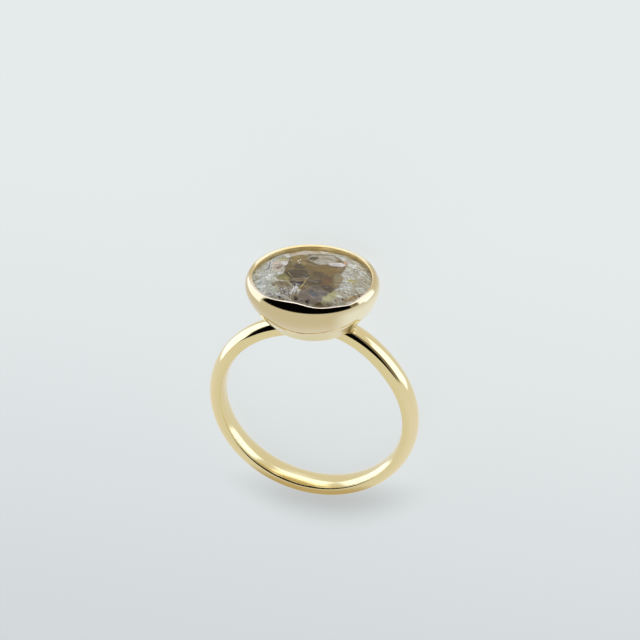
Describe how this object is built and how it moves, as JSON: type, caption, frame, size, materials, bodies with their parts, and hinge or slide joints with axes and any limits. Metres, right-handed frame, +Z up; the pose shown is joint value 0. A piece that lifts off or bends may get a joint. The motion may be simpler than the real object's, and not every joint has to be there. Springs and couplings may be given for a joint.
{
  "type": "oval bezel ring",
  "caption": "Slim round gold ring hoop with an oval cup head on a tapered foot, its lip closed over a faceted, included oval stone.",
  "frame": {"origin": "middle of the ring's box at its lowest points, as the ring lies on its side", "axes": "+Z up, -Y towards the head and its stone, +X to the right seen from the stone's side; the finger hole's axis stands 10.7 degrees off +Z"},
  "size_m": [0.02, 0.0253, 0.0107],
  "materials": {
    "gold": "polished",
    "gem": "polished facets"
  },
  "bodies": {
    "root": {"hoop_and_bezel": "gold", "stone": "gem"}
  },
  "joints": []
}
